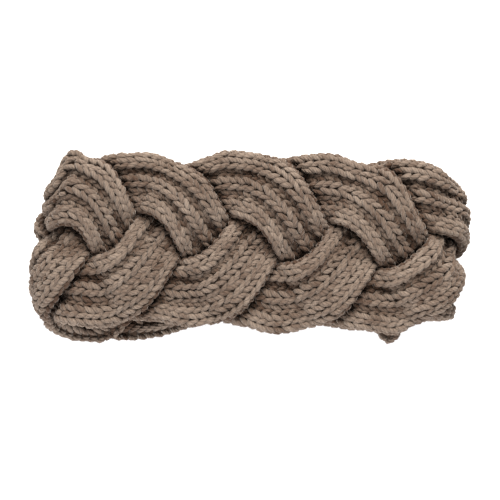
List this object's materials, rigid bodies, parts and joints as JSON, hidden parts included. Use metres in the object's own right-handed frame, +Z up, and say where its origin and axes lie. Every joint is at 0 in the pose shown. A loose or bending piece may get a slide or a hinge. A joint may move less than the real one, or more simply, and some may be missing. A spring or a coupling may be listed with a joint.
{
  "type": "ear warmer headband",
  "caption": "Ear warmer headband: a closed loop plaited from thick knitted strips, lying folded flat",
  "frame": {"origin": "bottom centre of the box round the band as it lies, on the surface it rests on", "axes": "+X along the folded band, towards which the plait points on its upper layer; +Y across the band; +Z up"},
  "size_m": [0.2546, 0.1104, 0.0618],
  "materials": {
    "knit_a": "smooth thick yarn in stocking stitch, taupe",
    "knit_b": "smooth thick yarn in stocking stitch, taupe",
    "knit_c": "smooth thick yarn in stocking stitch, taupe"
  },
  "bodies": {
    "root": {"strand_a": "knit_a", "strand_b": "knit_b", "strand_c": "knit_c"}
  },
  "joints": []
}
